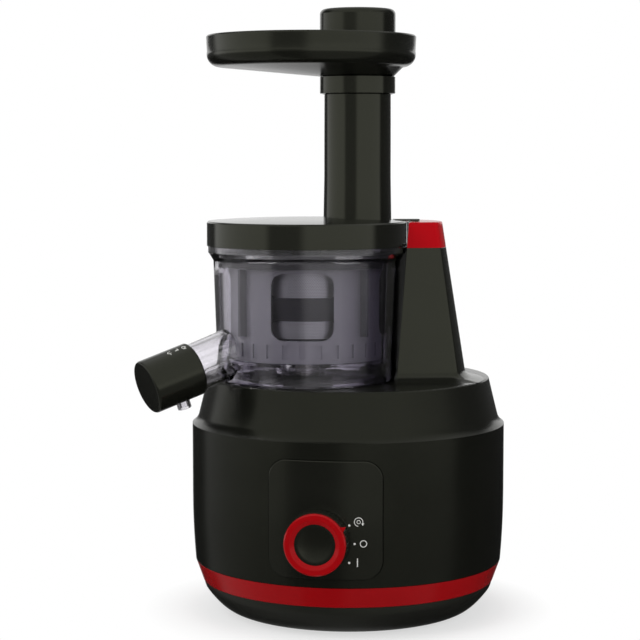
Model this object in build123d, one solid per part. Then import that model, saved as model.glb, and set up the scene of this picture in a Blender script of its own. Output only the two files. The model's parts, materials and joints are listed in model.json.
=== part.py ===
from build123d import *
from math import acos, cos, hypot, pi, radians, sin, sqrt, tan, atan2, degrees
import os

os.makedirs("parts", exist_ok=True)

# Millimetres, +Z up. The origin is the axis of the drum base on the plane the feet stand on.
# The control panel faces -Y. Lengths below are radii unless the name says otherwise.

# Fits and walls
slip = 0.3               # gap between pieces that lift apart
running = 0.05           # radial gap of a shaft in its bearing
seat = 0.03              # radial gap of a pressed or glued fit
wall = 2.6               # moulded wall of the base
thin_wall = 2.2          # moulded wall of the lighter covers

# Drum base
drum_radius = 106.0      # straight part of the drum
drum_foot = 104.1        # drum where it meets the band
drum_low = 35.9          # height of the drum's lower edge
drum_full = 82.0         # height where the drum reaches its full radius
ledge_height = 128.7     # ledge between drum and shoulder
shoulder_foot = 101.5    # shoulder just above the ledge
shoulder_low = 134.8
shoulder_top = 95.3      # rim of the platform
platform_height = 160.0
platform_thick = 3.0
rim_fillet = 1.5
gland_height = 59.0      # cord inlet
gland_bore = 3.6
gland_neck = 7.1
gland_flange = 9.5

# Band and bottom shell
band_low = 22.1
band_foot = 99.2         # lower edge of the band
band_thick = 2.5
band_top_gap = 0.3
shell_flat = 76.0        # flat floor of the bottom shell
shell_low = 1.2
shell_knees = ((86.0, 4.9), (95.7, 15.0))
foot_radius = 9.0
foot_circle = 62.0
foot_stud = 3.0
post_circle = 70.0
post_radius = 5.0
screw_shank = 1.9
screw_head = 3.6
head_sunk = 9.0          # underside of the base screws' heads
vent_count = 16

# Control panel and selector
panel_width = 73.4
panel_height = 76.2
panel_corner = 12.0
panel_middle = 79.6      # height of the panel's centre
panel_proud = 0.9
panel_depth = 1.7
knob_x = -3.8
knob_height = 66.6
knob_radius = 20.5
knob_depth = 14.0
knob_gap = 0.4
ring_radius = 19.8
ring_bore = 13.1
ring_thick = 3.2
pointer_reach = 23.0
pointer_half = 2.9
pointer_angle = 31.0     # reverse position, above the horizontal
selector_radius = 3.0
switch_side = 26.0
switch_depth = 20.0

# Bowl axis and the layout around it
bowl_x = -24.5
bowl_y = -24.0
tower_angle = 15.5       # from the bowl axis to the tower, about +Z from +X
spout_angle = 217.0
pulp_angle = 120.0
gear_angle = -60.0       # from the bowl axis to the wiper pinion

# Bowl
bowl_sink = 5.0          # how deep the bowl stands in the platform
bowl_foot = 54.0
bowl_low_radius = 60.0
bowl_foot_rise = 13.1    # height of its rounded foot
bowl_top_radius = 62.5
bowl_wall_rise = 71.8    # from the foot up to the flare under the rim
flare_rise = 5.4
rim_radius = 66.0
rim_rise = 4.0
lip_radius = 63.9
lip_rise = 5.0
lip_bore = 61.5
ledge_bore = 59.6        # ledge that carries the strainer
ledge_drop = 10.4        # from the lip down to that ledge
bowl_wall = 2.4
floor_rise = 20.1        # floor of the press chamber above the bowl's underside
floor_thick = 2.4
trough_rise = 6.5        # juice trough above the bowl's underside
trough_inner = 53.2
hub_bore = 11.0
hub_wall = 2.4
hub_rise = 12.0          # hub above the chamber floor
pin_radius = 4.0         # pivot pin of the wiper pinion
gear_rise = 9.0          # top of the wiper gears above the chamber floor
guide_angles = (-41.0, 62.0)   # guide ribs on the bowl, from the tower
guide_proud = 0.9
guide_width = 1.3

# Spout
spout_start = 61.0       # from the bowl axis to the bowl wall, level
spout_rise = 23.2        # spout axis at the bowl wall, above the bowl's underside
spout_drop = 17.7        # degrees below level
spout_root = 16.6
spout_end = 16.1
spout_tip = 15.4         # inside the cap
spout_bore = 13.2
spout_groove = 14.4
spout_rib = 0.9
cap_back = 23.4          # along the spout from the bowl wall
cap_length = 35.0
cap_radius = 17.7
cap_wall = 2.0
nose_along = 37.2        # drip nose along the spout
nose_radius = 4.6
nose_bore = 3.2
nose_reach = 22.3

# Pulp outlet
pulp_width = 28.0
pulp_wall = 2.2
pulp_gap = 0.7           # above the platform
pulp_reach = 100.0
pulp_start = 24.0
pulp_length = 16.8       # of the hole from the press chamber
pulp_hole = 17.0
plug_length = 14.0
plug_width = 12.0
plug_inset = 6.0

# Press set
cage_radius = 52.5
cage_bore = 49.5
cage_drop = 2.6          # under the strainer's flange
window_width = 40.0
window_corner = 8.0
window_drop = 7.5        # window under the cage's top edge
window_rise = 15.1       # window above the chamber floor
window_turn = -84.0
notch_count = 30
strainer_radius = 46.0
strainer_bore = 44.0
strainer_rise = 10.0     # strainer floor above the chamber floor
strainer_floor_thick = 2.4
strainer_hole = 24.0
flange_thick = 2.4
skirt_radius = 58.6
skirt_thick = 1.8
skirt_drop = 7.2
screen_width = 40.0
screen_count = 6
screen_cut = 8.0         # how far inside the bore a screen opening starts
screen_bands = ((6.0, 17.5), (32.5, 50.0))   # above the strainer floor
mesh_radius = 43.9
mesh_thick = 0.6
blade_thick = 2.0
blade_gap = 0.8          # from the blades to the bowl wall
auger_reach = 42.4
auger_foot = 21.0
auger_core_low = 20.0
auger_core_high = 11.0
flight_rise = 5.0        # lowest turn above the strainer floor
flight_pitch = 22.0
flight_turns = 2.0
flight_thick = 4.0
pivot_radius = 5.0
pivot_drop = 8.6         # foot of the screw's pivot under the strainer's flange
pivot_wall = 2.2         # wall of the lid bush
socket_wall = 2.5        # wall of the drive socket
hexagon_height = 19.0

# Lid and feed tube
lid_radius = 66.7
lid_rise = 11.6          # lid above the bowl's lip, at its rim
lid_thick = 2.6
lid_dome = 2.2
lid_flat = 8.0           # level middle of the lid
seal_height = 2.4
chute_offset = 34.0
chute_radius = 22.2
chute_wall = 2.2
chute_rise = 83.6        # from the lid to the socket
socket_depth = 11.7
socket_thick = 2.6
tongue_width = 9.0
tongue_reach = 75.4
tongue_thick = 1.3
peg_radius_in = 72.0
peg_radius_out = 74.6
peg_width = 5.0

# Tray and pusher
tray_offset = 3.0        # tray axis from the bowl axis, towards the tower
tray_radius = 69.5
tray_flat = 61.0
tray_depth = 20.6
tray_wall = 2.2
tray_bend = 10.0         # height of the rounded side
funnel_foot = 24.0
funnel_drop = 6.1        # from the dish floor down to the socket
pusher_head = 25.1
pusher_gap = 0.6         # round the stem, in the feed tube
pusher_wall = 2.0
pusher_clear = 9.4       # stem end above the lid
pusher_rise = 17.6       # head above the tray's rim

# Tower
tower_low_inner = 62.5   # inner face at the platform, about the bowl axis
tower_high_inner = 68.6
tower_low_outer = 108.0
tower_high_outer = 91.2
tower_low_front = (98.5, 26.0)    # front outer corner: outwards, sideways
tower_high_front = (84.2, 20.0)
tower_low_back = (86.0, 40.0)     # rear outer corner
tower_high_back = (76.0, 33.0)
tower_round = 4.0
tower_drop = 0.6         # tower top under the lid's rim
crown_height = 17.0
groove_depth = 3.3
cove_spread = 11.0       # concave foot of the tower on the platform
cove_height = 6.0
switch_drop = 26.0       # interlock switch shelf under the tower's top
plunger_radius = 1.5
plunger_flange = 2.6

# Drive
motor_x = 0.0
motor_y = 0.0
shaft_radius = 4.0
output_radius = 8.0
output_foot = 6.0
pressure_angle = radians(25.0)
addendum_share = 0.8
dedendum_share = 1.1
first_module = 1.2
second_module = 1.5
bowl_module = 2.0
pinion_teeth = 10
wheel_teeth = 50
auger_teeth = 18
wiper_teeth = 14
cage_teeth = 46
backlash = 0.12
case_drop = 30.0         # gear case top under the platform
case_depth = 31.0
case_floor = 3.0
cover_thick = 4.0
case_gap = 1.5
case_wall = 2.5
case_screw_angles = (-110.0, -25.0, 195.0)
first_width = 8.0        # face of the intermediate wheel
second_width = 11.0      # face of the output wheel
stator_radius = 40.0
stator_bore = 24.4
stator_height = 36.0
stator_drop = 14.0       # stator top under the gear case
winding_inner = 27.0
winding_outer = 36.0
rotor_radius = 23.6
bracket_drop = 65.0      # lower bracket under the gear case
bracket_bore = 9.5
bracket_wall = 2.6
motor_ear_circle = 45.0
motor_ear_angles = (-50.0, 20.0, 90.0)
fan_drop = 11.0          # fan under the lower bracket
fan_height = 9.0
fan_radius = 34.0
axle_radius = 3.0

# Board in the base
board_height = 10.0
board_thick = 1.6
board_width = 26.0
board_length = 44.0
board_circle = 62.0
board_turn = 135.0

# Heights that follow from the lengths above
post_top = drum_low - slip
foot_top = shell_low + 1.2
bowl_bottom = platform_height - bowl_sink
bowl_low_height = bowl_bottom + bowl_foot_rise
bowl_flare_height = bowl_low_height + bowl_wall_rise
rim_low = bowl_flare_height + flare_rise
rim_height = rim_low + rim_rise
lip_height = rim_height + lip_rise
strainer_seat = lip_height - ledge_drop
floor_top = bowl_bottom + floor_rise
gear_top = floor_top + gear_rise
trough_low = bowl_bottom + trough_rise
hub_top = floor_top + hub_rise
shaft_top = hub_top + hexagon_height
spout_height = bowl_bottom + spout_rise
pulp_low = platform_height + pulp_gap
strainer_floor = floor_top + strainer_rise
cage_top = strainer_seat - cage_drop
window_high = cage_top - window_drop
window_low = floor_top + window_rise
skirt_low = strainer_seat - skirt_drop
blade_low = window_low + 2.0
blade_high = skirt_low - 2 * slip
flight_low = strainer_floor + flight_rise
pivot_low = strainer_seat - pivot_drop
pivot_top = lip_height - 1.0
lid_low = rim_height + slip
lid_top = lip_height + lid_rise
lid_under = lid_top - lid_thick
socket_low = lid_top + chute_rise
socket_top = socket_low + socket_depth
neck_low = socket_low + 3.5
tray_seat = socket_top + slip
tray_low = tray_seat + funnel_drop
tray_top = tray_low + tray_depth
pusher_low = lid_top + pusher_clear
pusher_top = tray_top + pusher_rise
tower_top = lid_top - tower_drop
cap_low = tower_top - crown_height
groove_low = tower_top - groove_depth
switch_low = tower_top - switch_drop
case_top = platform_height - case_drop
case_low = case_top - case_depth
cover_top = case_top + cover_thick
first_low = case_low + case_floor + 2.4
second_low = first_low + first_width + 2.6
stator_high = case_low - stator_drop
stator_low = stator_high - stator_height
bracket_low = case_low - bracket_drop
fan_low = bracket_low - fan_drop

# Radii that follow
recess_radius = bowl_foot + 4.5
seal_radius = output_radius + 5.0
socket_outer = output_radius + socket_wall
bush_radius = pivot_radius + pivot_wall
trough_low_radius = bowl_low_radius - bowl_wall - 1.1
chute_bore = chute_radius - chute_wall
chute_foot = chute_radius + 0.5
socket_bore = chute_radius + slip
socket_radius = socket_bore + socket_thick
pusher_stem = chute_bore - pusher_gap
peg_mid = (peg_radius_in + peg_radius_out) / 2
switch_mid = peg_mid + 2.0
tower_mid = (tower_low_inner + tower_low_front[0]) / 2 + 2.0
tower_screw_places = ((tower_mid, -18.5), (tower_mid - 8.0, 33.0))
knob_back = drum_radius + panel_proud + 2 * knob_gap
seal_along = cap_back + cap_length - cap_wall - 4.0   # seal groove, along the spout

first_distance = first_module * (pinion_teeth + wheel_teeth) / 2
second_distance = second_module * (pinion_teeth + wheel_teeth) / 2
wiper_distance = bowl_module * (auger_teeth + wiper_teeth) / 2


def axle_place():
    """Where the intermediate axle stands, at both centre distances."""
    across = hypot(bowl_x - motor_x, bowl_y - motor_y)
    along = (first_distance**2 - second_distance**2 + across**2) / (2 * across)
    aside = sqrt(first_distance**2 - along**2)
    ux, uy = (bowl_x - motor_x) / across, (bowl_y - motor_y) / across
    return motor_x + along * ux + aside * uy, motor_y + along * uy - aside * ux


axle_x, axle_y = axle_place()


# Shared forms

upright = (Align.CENTER, Align.CENTER, Align.MIN)


def disc(radius, low, high):
    return Pos(0, 0, low) * Cylinder(radius, high - low, align=(Align.CENTER, Align.CENTER, Align.MIN))


def ring(outer, inner, low, high):
    return disc(outer, low, high) - disc(inner, low - 1, high + 1)


def turned(points):
    return revolve(make_face(Plane.XZ * Polyline(*points, close=True)), Axis.Z)


def turned_edges(*edges):
    return revolve(make_face([Plane.XZ * edge for edge in edges]), Axis.Z)


def block(x0, x1, width, low, high):
    box = Box(x1 - x0, width, high - low, align=(Align.MIN, Align.CENTER, Align.MIN))
    return Pos(x0, 0, low) * box


def wedge(radius, start, stop, low, high):
    count = 8
    angles = [radians(start + (stop - start) * i / count) for i in range(count + 1)]
    rim = [(radius * cos(a), radius * sin(a)) for a in angles]
    return Pos(0, 0, low) * extrude(make_face(Polyline((0, 0), *rim, close=True)), amount=high - low)


def around(shape, count, first=0.0):
    return [Rot(0, 0, first + 360.0 * i / count) * shape for i in range(count)]


def between(share, low, high):
    return low + (high - low) * share


def on_bowl(shape):
    return Pos(bowl_x, bowl_y, 0) * shape


def on_motor(shape):
    return Pos(motor_x, motor_y, 0) * shape


def on_axle(shape):
    return Pos(axle_x, axle_y, 0) * shape


def fused(shapes):
    whole = shapes[0]
    for shape in shapes[1:]:
        whole = whole + shape
    return whole


def cut(shape, tools):
    for tool in tools:
        shape = shape - tool
    return shape


def save(name, shape):
    solids = shape.solids() if not isinstance(shape, list) else [s for one in shape for s in one.solids()]
    export_step(solids[0] if len(solids) == 1 else Compound(children=solids), f"parts/{name}.step")


# Gears: involute flanks in two chords each, so meshing teeth keep a small backlash.

def involute(angle):
    return tan(angle) - angle


def tooth_half(radius, teeth, module, play):
    pitch = teeth * module / 2
    base = pitch * cos(pressure_angle)
    at = acos(min(1.0, base / max(radius, base)))
    return pi / (2 * teeth) - play / (2 * pitch) + involute(pressure_angle) - involute(at)


def tooth_outline(teeth, module, inner, outer, play):
    pitch = teeth * module / 2
    base = pitch * cos(pressure_angle)
    levels = [max(inner, base), pitch, outer]
    if inner < base:
        levels.insert(0, inner)
    points = []
    for k in range(teeth):
        middle = 2 * pi * k / teeth
        for r in levels:
            a = middle - tooth_half(r, teeth, module, play)
            points.append((r * cos(a), r * sin(a)))
        for r in reversed(levels):
            a = middle + tooth_half(r, teeth, module, play)
            points.append((r * cos(a), r * sin(a)))
    return make_face(Polyline(*points, close=True))


def gear(teeth, module, low, high, turn):
    pitch = teeth * module / 2
    face = tooth_outline(
        teeth, module, pitch - dedendum_share * module, pitch + addendum_share * module, backlash
    )
    return Rot(0, 0, turn) * Pos(0, 0, low) * extrude(face, amount=high - low)


def gear_hole(teeth, module, low, high, turn):
    pitch = teeth * module / 2
    face = tooth_outline(
        teeth, module, pitch - addendum_share * module, pitch + dedendum_share * module, -backlash
    )
    return Rot(0, 0, turn) * Pos(0, 0, low) * extrude(face, amount=high - low)


# Base housing

def drum_solid(offset, low, top):
    """The drum and shoulder, grown or shrunk sideways by offset, from low up to top."""
    arc = TangentArc(
        (drum_radius + offset, drum_full), (drum_foot + offset, drum_low), tangent=(0, -1)
    )
    straight = Line((drum_radius + offset, drum_full), (drum_radius + offset, ledge_height))
    flare = TangentArc(
        (shoulder_foot + offset, shoulder_low), (drum_radius + offset, ledge_height),
        tangent=(shoulder_foot - shoulder_top, shoulder_low - platform_height),
    )
    slope = (shoulder_top - shoulder_foot) / (platform_height - shoulder_low)
    top_radius = shoulder_foot + offset + slope * (top - shoulder_low)
    shoulder = Line((shoulder_foot + offset, shoulder_low), (top_radius, top))
    rest = Polyline((top_radius, top), (0, top), (0, low), (drum_foot + offset, low))
    edges = [arc, straight, flare, shoulder, rest]
    if low < drum_low:
        edges.append(Line((drum_foot + offset, low), (drum_foot + offset, drum_low)))
    return turned_edges(*edges)


def band_slope(height):
    """Outer radius of the band at a height."""
    return band_foot + (drum_foot - band_foot) * (height - band_low) / (drum_low - band_low)


def panel_prism(grow):
    face = RectangleRounded(panel_width + 2 * grow, panel_height + 2 * grow, panel_corner + grow)
    return extrude(Plane.XZ.offset(drum_radius - 25) * Pos(0, panel_middle) * face, amount=45)


def case_screw_places():
    """Ears of the gear case, beside the output wheel and the intermediate wheel."""
    reach_out = second_module * wheel_teeth / 2 + 8.5
    reach_mid = first_module * wheel_teeth / 2 + 8.5
    places = [
        (bowl_x + reach_out * cos(radians(a)), bowl_y + reach_out * sin(radians(a)))
        for a in case_screw_angles
    ]
    up = radians(100.0)
    places.append((axle_x + reach_mid * cos(up), axle_y + reach_mid * sin(up)))
    return places


def make_base_housing():
    outer = drum_solid(0, drum_low, platform_height)
    outer = fillet(outer.edges().filter_by(GeomType.CIRCLE).sort_by(Axis.Z)[-1], rim_fillet)
    inner = drum_solid(-wall, drum_low - 1, platform_height - platform_thick)
    well = on_bowl(disc(recess_radius + wall, bowl_bottom - platform_thick, platform_height))
    shell = outer - inner + (well & outer)
    # Skirt behind the band, with a flange that carries it
    skirt_out = band_slope(band_low) - band_thick - 0.1
    skirt_top = band_slope(drum_low) - band_thick - 0.1
    skirt = turned([
        (skirt_out - thin_wall, band_low + 0.1), (skirt_out, band_low + 0.1), (skirt_top, drum_low),
        (drum_foot - 0.5, drum_low), (drum_foot - 0.5, drum_low + 2.5),
        (skirt_top - thin_wall, drum_low + 2.5),
    ])
    shell = shell + skirt
    # Arms that take the base screws
    arm = block(post_circle - 6, drum_foot - 1, 7, post_top + 0.2, post_top + 12)
    for one in around(arm, 4):
        shell = shell + (one & outer)
    bore = Pos(post_circle, 0, 0) * disc(screw_shank + seat, post_top - 1, post_top + 10)
    shell = cut(shell, around(bore, 4))
    # Bosses that carry the gear case
    for x, y in case_screw_places():
        boss = Pos(x, y, 0) * disc(post_radius, cover_top, platform_height - 1)
        shell = shell + (boss & outer)
    for x, y in case_screw_places():
        shell = shell - Pos(x, y, 0) * disc(screw_shank + seat, case_top, case_top + 18)
    # Seat of the bowl, with the hub round the drive shaft
    shell = shell - on_bowl(disc(recess_radius, bowl_bottom, platform_height + 1))
    shell = shell + on_bowl(disc(seal_radius + 4, bowl_bottom - platform_thick, bowl_bottom + 8))
    shell = shell - on_bowl(disc(seal_radius, bowl_bottom, bowl_bottom + 9))
    shell = shell - on_bowl(disc(output_radius + 1, bowl_bottom - 9, bowl_bottom + 1))
    # Panel pocket and window, cord inlet, tower opening
    shell = shell - (panel_prism(0.3) - drum_solid(-panel_depth - 0.1, drum_low - 1, platform_height))
    shell = shell - panel_prism(-6)
    shell = shell - Pos(0, drum_radius, gland_height) * Rot(90, 0, 0) * Cylinder(gland_neck + 0.1, 30)
    opening = Pos(tower_mid, 0, platform_height - 6) * Cylinder(8, 12)
    shell = shell - on_bowl(Rot(0, 0, tower_angle) * opening)
    for place in tower_screw_places:
        shank = Pos(*place, 0) * disc(screw_shank + seat, platform_height - 8, platform_height + 1)
        shell = shell - on_bowl(Rot(0, 0, tower_angle) * shank)
    return shell


def make_base_band():
    low = band_low
    top = drum_low - band_top_gap
    return turned([
        (band_slope(low) - band_thick, low), (band_slope(low), low),
        (band_slope(top), top), (band_slope(top) - band_thick, top),
    ])


def shell_profile(inset):
    """Curved side of the bottom shell, from the flat floor out to the band."""
    (low_x, low_z), (high_x, high_z) = shell_knees
    return Spline(
        (shell_flat - inset * 0.3, shell_low + inset), (low_x - inset * 0.6, low_z + inset * 0.9),
        (high_x - inset, high_z + inset * 0.5), (band_foot - 0.6 - inset, band_low - 0.2),
        tangents=[(1, 0.05), (0.1, 1)],
    )


def make_bottom_shell():
    solids = []
    for inset in (0.0, wall):
        side = shell_profile(inset)
        start, stop = side @ 0, side @ 1
        low = shell_low + inset
        top = band_low - 0.2
        rest = Polyline((stop.X, top), (0, top), (0, low), (start.X, low))
        solids.append(turned_edges(side, rest))
    shell = solids[0] - solids[1]
    post = Pos(post_circle, 0, 0) * disc(post_radius, shell_low + 1, post_top)
    for one in around(post, 4):
        shell = shell + one
    bore = Pos(post_circle, 0, 0) * disc(screw_shank + 0.2, 0, post_top + 1)
    head = Pos(post_circle, 0, 0) * disc(screw_head + 0.4, 0, head_sunk)
    for one in around(bore, 4) + around(head, 4):
        shell = shell - one
    vent = block(24, 48, 4, 0, shell_low + wall + 1)
    shell = cut(shell, around(vent, vent_count, 180 / vent_count))
    foot = Pos(foot_circle, 0, 0) * (disc(foot_radius + 0.2, 0, foot_top) + disc(foot_stud + running, 0, 6))
    shell = cut(shell, around(foot, 4, 45))
    for x, y in board_posts():
        stand = board_frame() * Pos(x, y, 0) * disc(3, shell_low + 1, board_height)
        shell = shell + stand
    return shell


def board_frame():
    return Rot(0, 0, board_turn) * Pos(board_circle, 0, 0)


def board_posts():
    x, y = board_width / 2 - 4, board_length / 2 - 4
    return [(-x, -y), (-x, y), (x, -y), (x, y)]


def make_rubber_feet():
    foot = Pos(foot_circle, 0, 0) * (disc(foot_radius, 0, foot_top - 0.02) + disc(foot_stud, 0, 5.4))
    return around(foot, 4, 45)


def make_base_screws():
    low = head_sunk - 2.4
    body = disc(screw_shank, head_sunk, post_top + 9) + disc(screw_head, low, head_sunk)
    screw = Pos(post_circle, 0, 0) * body
    slot = Pos(post_circle, 0, low + 0.6) * Box(1, 5, 1.4)
    return around(screw - slot, 4)


# Control panel and selector

def knob_frame():
    return Plane(origin=(knob_x, -knob_back, knob_height), x_dir=(1, 0, 0), z_dir=(0, -1, 0))


def make_control_panel():
    grown = drum_solid(panel_proud, drum_low, platform_height)
    core = drum_solid(-panel_depth, drum_low - 1, platform_height)
    plate = (grown & panel_prism(0)) - core
    front = [e for e in plate.edges() if is_front(e)]
    plate = fillet(front, 0.7)
    boss = knob_frame() * Pos(0, 0, -knob_gap - 5) * Cylinder(
        ring_radius + 1.2, 5, align=(Align.CENTER, Align.CENTER, Align.MIN)
    )
    plate = plate + (boss - core)
    return plate - knob_frame() * Cylinder(selector_radius + 0.2, 30)


def is_front(edge):
    """An edge on the outer face of the panel."""
    middle = edge @ 0.5
    ends = [edge @ 0, middle, edge @ 1]
    return all(hypot(p.X, p.Y) > drum_foot + panel_proud * 0.5 and on_outer(p) for p in ends)


def on_outer(p):
    flat = hypot(p.X, p.Y)
    if p.Z >= drum_full:
        return abs(flat - drum_radius - panel_proud) < 0.05
    return flat > outer_radius(p.Z) + panel_proud - 0.05


def outer_radius(height):
    """Radius of the lower drum, an arc tangent to the straight part."""
    drop = drum_full - drum_low
    arc = (drop**2 + (drum_radius - drum_foot) ** 2) / (2 * (drum_radius - drum_foot))
    return drum_radius - arc + sqrt(arc**2 - (drum_full - height) ** 2)


def make_knob_body():
    body = disc(knob_radius, 0, knob_depth - ring_thick)
    flute = Pos(knob_radius + 0.15, 0, 0) * disc(0.7, -1, knob_depth)
    body = cut(body, around(flute, 40))
    body = body + disc(ring_bore - 0.1, knob_depth - ring_thick - 1, knob_depth - 1.4)
    dish = Pos(0, 0, knob_depth - 2.6 + 60) * Sphere(60)
    body = body - dish
    body = body - ring(knob_radius - 2, selector_radius + 3, -1, knob_depth - ring_thick - 3)
    body = body - disc(selector_radius + 0.02, -1, knob_depth - 6)
    return knob_frame() * body


def make_knob_ring():
    low, high = knob_depth - ring_thick, knob_depth
    body = turned([
        (ring_bore, low), (ring_radius, low), (ring_radius, high - 1), (ring_radius - 0.9, high),
        (ring_bore + 3.4, high), (ring_bore, high - 1.6),
    ])
    root = ring_radius - 2
    corners = [(root, -pointer_half), (pointer_reach, 0), (root, pointer_half)]
    point = make_face(Polyline(*corners, close=True))
    body = body + Pos(0, 0, low) * extrude(point, amount=ring_thick - 0.9)
    return knob_frame() * Rot(0, 0, pointer_angle) * body


def make_switch_shaft():
    return knob_frame() * disc(selector_radius, -16, knob_depth - 6.2)


def make_rotary_switch():
    front = -(knob_back - panel_back())
    low = front - 8 - switch_depth
    neck = disc(5, front - 8, front)
    body = Pos(0, 0, low) * Box(switch_side, switch_side, switch_depth, align=upright)
    tabs = [Pos(x, 0, low - 6) * Box(0.8, 6, 6.2, align=upright) for x in (-8, 0, 8)]
    body = fused([body, neck] + tabs)
    return knob_frame() * (body - disc(selector_radius + running, -17, 10))


def panel_back():
    """Distance of the panel's back from the drum axis, beside the selector shaft."""
    reach = drum_radius - panel_depth
    return sqrt(reach**2 - (abs(knob_x) + 5) ** 2) - 0.3


# Tower

def tower_section(height, grow, rounding=0.0):
    """Outline of the tower about the bowl axis, before the bowl's side is hollowed out."""
    share = (height - platform_height) / (tower_top - platform_height)
    outer = between(share, tower_low_outer, tower_high_outer) + grow
    front_x, front = [between(share, *pair) + grow for pair in zip(tower_low_front, tower_high_front)]
    back_x, back = [between(share, *pair) + grow for pair in zip(tower_low_back, tower_high_back)]
    face = make_face([
        Line((bowl_foot / 2, -front), (bowl_foot / 2, back)),
        Line((bowl_foot / 2, back), (back_x, back)),
        ThreePointArc((back_x, back), (outer, 0), (front_x, -front)),
        Line((front_x, -front), (bowl_foot / 2, -front)),
    ])
    if rounding:
        corners = sorted(face.vertices(), key=lambda v: hypot(v.X, v.Y))[-2:]
        face = fillet(corners, rounding)
    return Pos(0, 0, height) * face


def tower_bore(low, high, grow):
    """Conical space beside the bowl."""
    shares = [(height - platform_height) / (tower_top - platform_height) for height in (low, high)]
    inner = [between(share, tower_low_inner, tower_high_inner) - grow for share in shares]
    return turned([(0, low), (inner[0], low), (inner[1], high), (0, high)])


def tower_solid(low, high, grow, rounding=0.0):
    sections = [tower_section(low, grow, rounding), tower_section(high, grow, rounding)]
    return loft(sections, ruled=True) - tower_bore(low - 1, high + 1, grow)


def coved_tower():
    """Outside of the tower, with the concave foot that spreads on to the platform."""
    steps = 4
    sections = []
    for level in [i / steps for i in range(steps + 1)]:
        spread = cove_spread * (1 - sqrt(1 - (1 - level) ** 2))
        sections.append(tower_section(platform_height + cove_height * level, spread, tower_round))
    sections.append(tower_section(cap_low, 0, tower_round))
    return loft(sections, ruled=True) - tower_bore(platform_height - 1, cap_low + 1, 0)


def on_tower(shape):
    return on_bowl(Rot(0, 0, tower_angle) * shape)


def make_tower_housing():
    body = coved_tower()
    body = body - tower_solid(platform_height - 1, cap_low + 1, -thin_wall)
    shelf = tower_solid(switch_low - 2.2, switch_low, -1)
    cable_hole = Pos(tower_high_front[0] - 4, 8, 0) * disc(3, 0, tower_top)
    body = body + (shelf - cable_hole)
    # Foot bosses for the screws from the platform
    for x, y in tower_screw_places:
        boss = disc(5.5, platform_height, platform_height + 9)
        bore = disc(screw_shank + seat, platform_height - 1, platform_height + 7)
        body = body + Pos(x, y, 0) * boss - Pos(x, y, 0) * bore
    return on_tower(body)


def make_tower_screws():
    low = platform_height - platform_thick
    screw = disc(screw_shank, low, platform_height + 6) + disc(screw_head, low - 2.4, low)
    return [on_tower(Pos(x, y, 0) * screw) for x, y in tower_screw_places]


def make_tower_cap():
    body = tower_solid(cap_low, tower_top, 0, tower_round)
    top_edges = [e for e in body.edges() if min((e @ 0).Z, (e @ 1).Z) > tower_top - 0.01]
    body = chamfer(top_edges, 0.6)
    body = body - tower_solid(cap_low - 1, tower_top - 5, -thin_wall)
    groove = wedge(peg_radius_out + 1.2, -4.4, 24.5, groove_low, tower_top + 1)
    body = body - (groove - disc(peg_radius_in - 1.2, groove_low - 1, tower_top + 2))
    hole = Pos(peg_mid, 0, 0) * disc(plunger_radius + 0.2, switch_low, tower_top)
    return on_tower(body - hole)


def make_interlock_plunger():
    low = switch_low + 14.4
    body = disc(plunger_radius, low, groove_low - 0.1) + disc(plunger_flange, low, low + 1.6)
    return on_tower(Pos(peg_mid, 0, 0) * body)


def make_interlock_switch():
    body = Pos(switch_mid, 0, switch_low) * Box(8, 20, 11, align=upright)
    button = Pos(peg_mid, 0, 0) * disc(1.6, switch_low + 10, switch_low + 12.6)
    return on_tower(body + button)


# Electrical pieces in the base

def make_cord_gland():
    wall_out = drum_radius - 0.1
    body = disc(gland_neck, wall_out - wall - 4, wall_out + 0.5)
    body = body + disc(gland_flange, wall_out + 0.4, wall_out + 3.4)
    body = body + disc(gland_flange, wall_out - wall - 5.2, wall_out - wall - 1.4)
    body = body - disc(gland_bore, 0, 2 * drum_radius)
    return Pos(0, 0, gland_height) * Rot(-90, 0, 0) * body


def make_control_board():
    plate = Box(board_width, board_length, board_thick, align=upright)
    return board_frame() * Pos(0, 0, board_height) * plate


def make_board_components():
    top = board_height + board_thick
    capacitor = Pos(-5, -10, top) * Box(14, 18, 12, align=upright)
    relay = Pos(4, 12, top) * Box(12, 15, 10, align=upright)
    choke = Pos(-7, 8, 0) * disc(4.5, top, top + 9)
    terminals = Pos(8, -10, top) * Box(7, 18, 8, align=upright)
    return [board_frame() * one for one in (capacitor, relay, choke, terminals)]


# Motor

def make_stator_core():
    core = ring(stator_radius, stator_bore, stator_low, stator_high)
    slot = block(stator_bore - 1, stator_radius - 6, 5.6, stator_low - 1, stator_high + 1)
    return on_motor(cut(core, around(slot, 8)))


def make_stator_windings():
    spans = ((stator_low - 6, stator_low - 0.1), (stator_high + 0.1, stator_high + 6))
    ends = [ring(winding_outer, winding_inner, low, high) for low, high in spans]
    bar = block(winding_inner, stator_radius - 6.4, 5, stator_low - 5, stator_high + 5)
    return on_motor(fused(ends + around(bar, 8)))


def bearing(bore, outer, low, high):
    return ring(outer - seat, bore + running, low, high)


def make_motor_lower_bracket():
    body = ring(stator_radius, shaft_radius + 1, bracket_low, bracket_low + 3)
    body = body + ring(stator_radius, stator_radius - bracket_wall, bracket_low + 2, stator_low)
    body = body + ring(bracket_bore + 2.5, bracket_bore, bracket_low + 2, bracket_low + 8.2)
    vent = wedge(33, -14, 14, bracket_low - 1, bracket_low + 4) - disc(16, 0, 100)
    return on_motor(cut(body, around(vent, 6)))


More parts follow.
